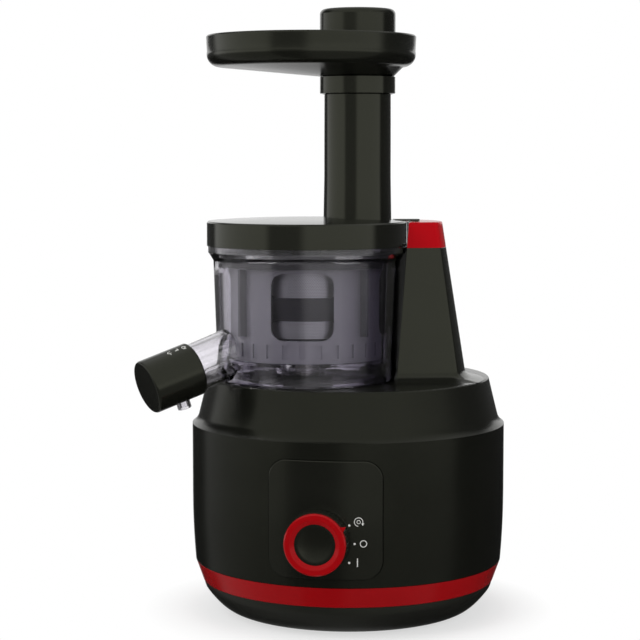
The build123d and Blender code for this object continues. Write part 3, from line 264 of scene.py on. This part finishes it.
def screenSteel(name, settings):
    # thin sheet with staggered rows of small round holes round the bowl axis
    made = Finish(name)
    x, y, z = made.split(made.place(centre=(-bowlX, -bowlY, 0)))
    pitch, rowStep, edge = settings["pitch"], settings["rowStep"], settings["edge"]
    height = z / (pitch * rowStep)
    column = y.math("ARCTAN2", x) * (settings["radius"] / pitch) + height.math("FLOOR") * 0.5
    across = column.math("FRACT") - 0.5
    along = (height.math("FRACT") - 0.5) * rowStep
    reach = (across * across + along * along).math("SQRT")
    lines = made.noise(made.place(scale=settings["lines"]), settings["scale"], detail=2.0)
    dark, light = (shade(settings["tint"], amount) for amount in settings["shades"])
    made.set(color=made.mix(lines, dark, light), metal=1.0,
             rough=made.fade(lines, *midRange, *settings["rough"]),
             alpha=made.fade(reach, settings["hole"] - edge, settings["hole"] + edge))
    return made.owner


def windings(name, settings):
    # enamelled wire in close turns, darker in the gaps between turns as painted shade
    made = Finish(name)
    turns = made.node("TexWave", {"wave_type": "RINGS", "rings_direction": "Z"},
                      {"Vector": made.place(), "Scale": settings["turns"], "Distortion": 1.5, "Detail": 1.0,
                       "Detail Scale": 4.0})
    # painted shade: the colour darkens in the grooves between turns
    made.set(color=made.mix(turns, shade(settings["tint"], settings["gap"]), shade(settings["tint"])),
             metal=0.85, rough=0.32, coat=0.4)
    made.bump(turns, strength=0.5, distance=settings["depth"])
    return made.owner


def laminated(name, settings):
    # stacked sheets with a cloud of rust
    made = Finish(name)
    where = made.place()
    sheets = (made.split(where)[2] * (2 * pi / settings["sheet"])).math("SINE")
    rust = made.noise(where, settings["rust"], detail=4.0)
    shown = made.fade(rust + sheets * settings["sheetShare"], *settings["rustRange"])
    dark, light = (shade(settings["tint"], amount) for amount in settings["shades"])
    made.set(color=made.mix(shown, dark, light), metal=0.9, rough=0.5)
    made.bump(sheets, strength=0.4, distance=grainDepth)
    return made.owner


rubberSettings = {
    "cloud": 60.0,
    "grain": 900.0,
    "shades": (0.8, 1.25),
    "roughSpread": 0.06,
    "relief": 0.25,
}


def rubber(name, own):
    made = Finish(name)
    settings = {**rubberSettings, **own}
    where = made.place()
    cloud = made.noise(where, settings["cloud"], detail=5.0)
    dark, light = (shade(settings["tint"], amount) for amount in settings["shades"])
    rough, spread = settings["rough"], settings["roughSpread"]
    made.set(color=made.mix(cloud, dark, light),
             rough=made.fade(cloud, *midRange, rough - spread, rough + spread))
    made.bump(made.noise(where, settings["grain"]), settings["relief"], grainDepth)
    return made.owner


def laminate(name, settings):
    # circuit board: lacquer with copper tracks under it
    made = Finish(name)
    black, white = shade((0, 0, 0)), shade((1, 1, 1))
    tracks = made.node("TexBrick", {"offset": 0.37, "squash": 1.6, "squash_frequency": 3},
                       {"Vector": made.place(turn=(0, 0, pi / 4)), "Scale": settings["tracks"],
                        "Mortar Size": settings["trackWidth"], "Color1": black, "Color2": black,
                        "Mortar": white})
    made.set(color=made.mix(tracks, shade(settings["tint"]), shade(settings["tint"], settings["copper"])),
             rough=0.3, coat=0.5)
    made.bump(tracks, strength=0.3, distance=grainDepth)
    return made.owner


blackGlint = (1.0, 1.03, 0.8)      # the faint olive cast of the black plastic
finishSettings = {
    plastic: {
        "blackGloss": {"tint": (0.0052, 0.0055, 0.0042), "rough": 0.2, "relief": 0.04, "glint": blackGlint},
        "blackDrum": {"tint": (0.0052, 0.0055, 0.0042), "rough": 0.22, "relief": 0.04, "ior": 1.38,
                      "glint": blackGlint},
        "blackLid": {"tint": (0.0056, 0.0058, 0.0046), "rough": 0.13, "relief": 0.03, "glint": blackGlint},
        "blackPanel": {"tint": (0.0044, 0.0046, 0.0038), "rough": 0.2, "relief": 0.05, "glint": blackGlint},
        "blackUnder": {"tint": (0.0085, 0.0088, 0.0078), "rough": 0.42, "relief": 0.15, "glint": blackGlint},
        "redGloss": {"tint": (0.43, 0.002, 0.006), "rough": 0.2, "relief": 0.04, "spread": 0.05, "ior": 1.42,
                     "glint": (1.0, 0.15, 0.17)},
        "redTrim": {"tint": (0.30, 0.0012, 0.003), "rough": 0.22, "relief": 0.04, "spread": 0.05, "ior": 1.4,
                    "glint": (1.0, 0.12, 0.14), "coat": 0.25},
        "smokyFrame": {"tint": (0.04, 0.037, 0.047), "rough": 0.2},
        "smokyCage": {"tint": (0.42, 0.405, 0.465), "rough": 0.2},
        "screwPlastic": {"tint": (0.05, 0.049, 0.058), "rough": 0.25},
        "gearNylon": {"tint": (0.62, 0.60, 0.52), "rough": 0.42, "relief": 0.12},
        "switchPlastic": {"tint": (0.03, 0.031, 0.034), "rough": 0.45, "relief": 0.2},
        "whitePrint": {"tint": (0.72, 0.72, 0.69), "rough": 0.4, "relief": 0.1, "spread": 0.04},
    },
    metal: {
        "castBracket": {"tint": (0.55, 0.56, 0.58), "rough": 0.42, "lines": (1, 1, 1), "scale": 260.0},
        "steel": {"tint": (0.58, 0.57, 0.56), "rough": 0.26},
    },
    clearPlastic: {
        # the deeper of the two tints is painted shade on the tower's side of the bowl
        "clearSmoke": {"tint": (0.90, 0.885, 0.92), "deepTint": (0.42, 0.40, 0.46), "ior": 1.6,
                       "tintTurn": (-1.05, -0.55),      # radians round the bowl, from the plain tint to the painted shade
                       "rough": (0.025, 0.075), "waves": 30.0, "wavy": (0.02, 0.0003)},
    },
    screenSteel: {
        "screenSteel": {"tint": (0.62, 0.61, 0.66), "shades": (0.95, 1.05), "rough": (0.34, 0.42),
                        "radius": 0.0436, "pitch": 0.0011,
                        "rowStep": 0.866, "hole": 0.27, "edge": 0.03,      # all three in pitches
                        "lines": (1, 1, 6), "scale": 60.0},
    },
    windings: {
        "windings": {"tint": (0.68, 0.27, 0.1), "gap": 0.45, "turns": 420.0, "depth": 0.0002},
    },
    laminated: {
        "laminated": {"tint": (0.26, 0.26, 0.28), "shades": (0.7, 1.2), "sheet": 0.0005, "sheetShare": 0.1,
                      "rust": 60.0, "rustRange": (0.3, 0.8)},
    },
    rubber: {
        "softSeal": {"tint": (0.16, 0.155, 0.18), "rough": 0.5},
        "blackRubber": {"tint": (0.014, 0.014, 0.014), "rough": 0.72},
    },
    laminate: {
        "boardGreen": {"tint": (0.02, 0.11, 0.045), "tracks": 60.0, "trackWidth": 0.03, "copper": 2.2},
    },
}
finishes = {name: make(name, settings)
            for make, group in finishSettings.items() for name, settings in group.items()}

nodeFinish = {
    "blackDrum": ["base_housing"],
    "blackGloss": ["tower_housing", "feeding_tray", "pusher_body", "pusher_cap", "spout_cap", "knob_body"],
    "blackLid": ["lid"],
    "blackPanel": ["control_panel"],
    "blackUnder": ["bottom_shell"],
    "redGloss": ["tower_cap"],
    "redTrim": ["base_band", "knob_ring"],
    "clearSmoke": ["juice_bowl"],
    "smokyCage": ["wiper_cage"],
    "smokyFrame": ["strainer_frame"],
    "screenSteel": ["strainer_mesh"],
    "screwPlastic": ["auger"],
    "softSeal": ["wiper_blades", "lid_seal", "pulp_plug", "spout_seal", "hub_seal"],
    "blackRubber": ["rubber_feet", "cord_gland", "shaft_seal"],
    "steel": ["base_screws", "tower_screws", "motor_screws", "gearbox_screws", "motor_shaft",
              "motor_pinion", "intermediate_axle", "intermediate_pinion", "output_shaft",
              "output_bearings", "motor_bearings", "drive_socket", "switch_shaft"],
    "laminated": ["stator_core", "motor_rotor"],
    "castBracket": ["motor_lower_bracket", "motor_upper_bracket"],
    "windings": ["stator_windings"],
    "gearNylon": ["intermediate_gear", "output_gear", "wiper_pinion", "lid_bush", "cooling_fan"],
    "switchPlastic": ["rotary_switch", "interlock_switch", "interlock_plunger", "gearbox_housing",
                      "gearbox_cover", "board_components"],
    "boardGreen": ["control_board"],
}


def dressNodes(table):
    for finish, names in table.items():
        for name in names:
            data = nodes[name].data
            data.materials.clear()
            data.materials.append(finishes[finish])
            data.polygons.foreach_set("material_index", [0] * len(data.polygons))


dressNodes(nodeFinish)
print("finishes made:", len(finishes))


# Moulded shells with softened edges, each from its CAD solid

sharpAngle = 35.0           # degrees; flatter edges of a new piece are shaded smooth


def finished(name, bm, finish):
    mesh = bpy.data.meshes.new(name)
    bm.to_mesh(mesh)
    bm.free()
    mesh.polygons.foreach_set("use_smooth", [True] * len(mesh.polygons))
    mesh.set_sharp_from_angle(angle=radians(sharpAngle))
    mesh.materials.append(finishes[finish])
    piece = bpy.data.objects.new(name, mesh)
    scene.collection.objects.link(piece)
    return piece


softened = {
    # node: (piece, body, finish, edge radius in mm)
    "base_housing": ("drum_shell", "base", "blackDrum", 0.5),
    "base_band": ("drum_band", "base", "redTrim", 0.3),
    "bottom_shell": ("drum_underside", "base", "blackUnder", 0.4),
    "control_panel": ("panel_plate", "base", "blackPanel", 0.15),
    "tower_housing": ("tower_shell", "base", "blackGloss", 0.5),
    "tower_cap": ("tower_crown", "base", "redGloss", 0.3),
    "knob_body": ("selector_grip", "selector", "blackGloss", 0.15),
    "knob_ring": ("selector_ring", "selector", "redTrim", 0.45),
    "lid": ("lid_shell", "cover", "blackLid", 0.4),
    "feeding_tray": ("tray_shell", "tray", "blackGloss", 0.4),
    "pusher_cap": ("pusher_head", "pusher", "blackGloss", 0.4),
    "spout_cap": ("drip_cap_shell", "drip_cap", "blackGloss", 0.35),
    "juice_bowl": ("bowl_shell", "bowl", "clearSmoke", 0.3),
}
shellSettings = {
    "weld": 2e-6,           # joins the solid's separate faces
    "flat": 0.05,           # degrees between triangles that become one face
    "edge": 38.0,           # degrees from which an edge is rounded
    "segments": 3,
}


def soften(node, piece, body, finish, radius, settings):
    bm = bmesh.new()
    bm.from_mesh(nodes[node].data)
    bmesh.ops.remove_doubles(bm, verts=bm.verts, dist=settings["weld"])
    bmesh.ops.dissolve_limit(bm, angle_limit=radians(settings["flat"]), verts=bm.verts, edges=bm.edges)
    made = finished(piece, bm, finish)
    edge = made.modifiers.new("edge", "BEVEL")
    edge.width = radius * mm
    edge.segments = settings["segments"]
    edge.limit_method = "ANGLE"
    edge.angle_limit = radians(settings["edge"])
    normals = made.modifiers.new("normals", "WEIGHTED_NORMAL")
    normals.keep_sharp = True
    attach(made, body)
    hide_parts(node)


for node, (piece, body, finish, radius) in softened.items():
    soften(node, piece, body, finish, radius, shellSettings)
bpy.data.objects["tower_crown"].visible_glossy = False     # keeps red out of the lid's gloss
print("shells softened:", len(softened))


# Printed marks: drawn flat in mm, thickened, then bent round the piece that carries them

arcStep = 7.5               # degrees from one point of an arc to the next


def addDisc(bm, u, v, radius):
    bmesh.ops.create_circle(bm, cap_ends=True, segments=24, radius=radius,
                            matrix=Matrix.Translation((u, v, 0)))


def addArc(bm, u, v, radius, width, start=0, sweep=360):
    middle = Vector((u, v, 0))
    turn = Matrix.Rotation(radians(start), 4, "Z")
    ends = [bm.verts.new(middle + turn @ Vector((reach, 0, 0)))
            for reach in (radius - width / 2, radius + width / 2)]
    bmesh.ops.spin(bm, geom=[*ends, bm.edges.new(ends)], axis=(0, 0, 1), cent=middle, angle=radians(sweep),
                   steps=int(sweep / arcStep), use_merge=sweep == 360)


def addBar(bm, u, v, width, height):
    bmesh.ops.create_grid(bm, x_segments=1, y_segments=4, size=0.5,
                          matrix=Matrix.Translation((u, v, 0)) @ Matrix.Diagonal((width, height, 1, 1)))


def addWedge(bm, u, v, corners):
    bm.faces.new([bm.verts.new((u + across, v + up, 0)) for across, up in corners])


def thicken(bm, thick):
    made = bmesh.ops.extrude_face_region(bm, geom=list(bm.faces))
    raised = [item for item in made["geom"] if isinstance(item, bmesh.types.BMVert)]
    bmesh.ops.translate(bm, verts=raised, vec=(0, 0, thick))
    bmesh.ops.recalc_face_normals(bm, faces=bm.faces)


panelMarks = {
    "radius": 106.92,       # surface of the panel about the drum axis
    "thick": 0.06,
    "dots": ((16.1, 76.9), (19.5, 65.1), (16.1, 53.0)),
    "dotRadius": 0.75,
    "off": (25.1, 65.1, 2.05, 0.5),                 # ring: across, up, radius, line
    "on": (21.3, 53.1, 0.65, 5.4),                  # bar: across, up, width, height
    "reverse": (22.0, 79.1, 2.7, 0.42, -25, 290),   # arc: a ring's four, then start and sweep in degrees
    "eye": (22.0, 79.1, 1.08, 0.336),
    "arrow": (24.7, 79.1, ((-1.0, -0.9), (0.9, -0.9), (-0.1, -2.5))),
}


def makePanelMarks(settings):
    bm = bmesh.new()
    for ring in ("off", "reverse", "eye"):
        addArc(bm, *settings[ring])
    addWedge(bm, *settings["arrow"])
    for place in settings["dots"]:
        addDisc(bm, *place, settings["dotRadius"])
    addBar(bm, *settings["on"])
    thicken(bm, settings["thick"])
    for vert in bm.verts:
        reach, turn = settings["radius"] + vert.co.z, vert.co.x / settings["radius"]
        vert.co = Vector((reach * sin(turn), -reach * cos(turn), vert.co.y)) * mm
    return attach(finished("panel_marks", bm, "whitePrint"), "base")


makePanelMarks(panelMarks)

capMarks = {
    "radius": 17.7,         # of the cap about the spout
    "thick": 0.05,
    "along": 33.0,          # from the bowl wall to the middle of the row
    "turn": 16.0,           # round the cap from its top towards the front
    "open": (-5.2, 0.0, 1.2, 0.45, 40, 280),
    "drop": (-5.2, 0.0, ((-0.5, -2.6), (0.5, -2.6), (0.0, -1.7))),
    "scale": ((-1.0, -0.7, 0.5, 1.0), (0.0, -0.35, 0.5, 1.7), (1.0, 0.0, 0.5, 2.4)),
    "shut": (5.2, 0.0, 1.2, 0.45),
    "stop": (5.2, -2.2, 1.6, 0.5),
}


def makeCapMarks(settings, joint):
    # an open tap, a bar scale and a shut tap in one row
    bm = bmesh.new()
    for ring in ("open", "shut"):
        addArc(bm, *settings[ring])
    addWedge(bm, *settings["drop"])
    for bar in (*settings["scale"], settings["stop"]):
        addBar(bm, *bar)
    thicken(bm, settings["thick"])
    axis = Vector(joint["axis"]).normalized()
    side = axis.cross(Vector((0, 0, 1))).normalized()
    top = side.cross(axis)
    for vert in bm.verts:
        reach = settings["radius"] + vert.co.z
        turn = radians(settings["turn"]) - vert.co.y / settings["radius"]
        around = top * cos(turn) - side * sin(turn)
        along = settings["along"] - vert.co.x
        vert.co = Vector(joint["pos_m"]) + (axis * along + around * reach) * mm
    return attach(finished("drip_cap_marks", bm, "whitePrint"), "drip_cap")


makeCapMarks(capMarks, joints["drip_cap_turn"])
print("marks made")


# Studio

studioSettings = {
    # levels by direction, in turns from behind the object round its left, front and right
    "bands": ((0.0, 0.07), (0.13, 0.07), (0.15, 0.95), (0.365, 0.9), (0.385, 0.27), (0.475, 0.27),
              (0.5, 0.85), (0.72, 0.85), (0.74, 0.09), (1.0, 0.07)),
    "upper": ((0.0, 0.3), (0.08, 0.1), (0.215, 0.04), (0.25, 0.55), (0.45, 0.65), (0.62, 0.65), (0.7, 0.45),
              (0.78, 0.15), (0.85, 0.06), (1.0, 0.06)),
    "ceiling": 0.6,
    "ambient": 0.42,
    # sines of elevation between which one part gives way to the next, some with their two levels
    "foot": (-0.16, -0.05, 0.25, 1.0),
    "upperFrom": (0.06, 0.24),
    "ceilingFrom": (0.5, 0.75),
    # the white wall behind: half its width in turns, low down and higher up, and its edges
    "behind": (0.0, 0.08, 0.03, 0.10),
    "behindEdge": (0.0, 0.007),
    "behindTop": (0.3, 0.6),
    "behindFoot": (-0.3, -0.04, 0.4, 1.0),
}


def makeWorld(settings, cameraTurn):
    world = bpy.data.worlds.new("studio")
    scene.world = world
    tree = Tree(world)
    turn = radians(cameraTurn)
    direction = tree.node("TexCoord", output="Generated")
    right = tree.node("VectorMath", {"operation": "DOT_PRODUCT"},
                      {0: direction, 1: (cos(turn), sin(turn), 0)}, output="Value")
    front = tree.node("VectorMath", {"operation": "DOT_PRODUCT"},
                      {0: direction, 1: (sin(turn), -cos(turn), 0)}, output="Value")
    height = tree.split(direction)[2]
    around = right.math("ARCTAN2", front) / (2 * pi) + 0.5
    band = tree.node("ValToRGB", {"stops": settings["bands"]}, {0: around})
    upper = tree.node("ValToRGB", {"stops": settings["upper"]}, {0: around})
    over = tree.fade(height, *settings["upperFrom"])
    walls = band * tree.fade(height, *settings["foot"]) * (1 - over) + over * upper
    top = tree.fade(height, *settings["ceilingFrom"])
    walls = walls * (1 - top) + top * settings["ceiling"]
    off = 0.5 - (around - 0.5).math("ABSOLUTE")
    outside = tree.fade(off - tree.fade(height, *settings["behind"]), *settings["behindEdge"])
    behind = (1 - outside) * (1 - tree.fade(height, *settings["behindTop"]))
    mirrored = walls * (1 - behind) + behind * tree.fade(height, *settings["behindFoot"])
    seen = tree.ray("Camera")
    mirror = tree.ray("Glossy").math("MAXIMUM", tree.ray("Transmission"))
    level = seen + (1 - seen) * (mirror * mirrored + (1 - mirror) * settings["ambient"])
    background = tree.nodes["Background"]
    background.inputs["Color"].default_value = (1, 1, 1, 1)
    tree.feed(background.inputs["Strength"], level)


floorSettings = {
    "tint": (0.93, 0.93, 0.93),
    "rough": 0.9,
    "radius": 4.0,
    "fade": (0.105, 0.14, 0.62, 1.0),   # metres from the drum axis, and how white the floor is there
}


def makeFloor(settings):
    # takes the shadow near the object and is plain white farther out; mirrored rays pass through it
    made = Finish("paleFloor")
    made.set(color=shade(settings["tint"]), rough=settings["rough"])
    x, y = made.split(made.place())[:2]
    reach = (x * x + y * y).math("SQRT")
    white = made.node("Emission", {}, {"Color": (1, 1, 1, 1), "Strength": 1.0})
    plain = Signal(made, made.shader.outputs[0])
    looked = made.ray("Camera").math("MAXIMUM", made.ray("Transmission"))
    far = made.fade(reach, *settings["fade"]) * looked
    shown = made.node("MixShader", {}, {0: far, 1: plain, 2: white})
    shown = made.node("MixShader", {}, {0: made.ray("Glossy"), 1: shown, 2: made.node("BsdfTransparent")})
    made.feed(made.nodes["Material Output"].inputs["Surface"], shown)
    finishes["paleFloor"] = made.owner
    bm = bmesh.new()
    bmesh.ops.create_circle(bm, cap_ends=True, segments=96, radius=settings["radius"])
    finished("floor", bm, "paleFloor")


lampSettings = {
    # name: (azimuth from the control panel, elevation, distance, width, height, watts)
    "keyLamp": (-52.0, 38.0, 1.9, 1.2, 1.2, 17.0),
    "fillLamp": (62.0, 30.0, 2.0, 1.2, 1.2, 10.0),
    "topLamp": (0.0, 80.0, 1.8, 1.4, 1.4, 12.0),
}
lampTarget = Vector((0, 0, 0.2))


def makeLamps(settings):
    for name, (azimuth, elevation, distance, width, height, watts) in settings.items():
        a, e = radians(azimuth), radians(elevation)
        data = bpy.data.lights.new(name, "AREA")
        data.shape = "RECTANGLE"
        data.size = width
        data.size_y = height
        data.energy = watts
        lamp = bpy.data.objects.new(name, data)
        back = Vector((sin(a) * cos(e), -cos(a) * cos(e), sin(e)))
        lamp.location = lampTarget + back * distance
        lamp.rotation_euler = back.to_track_quat("Z", "Y").to_euler()
        lamp.visible_glossy = False
        scene.collection.objects.link(lamp)


makeWorld(studioSettings, cameraSettings["turn"])
makeFloor(floorSettings)
makeLamps(lampSettings)
print("studio lit")

print("done")
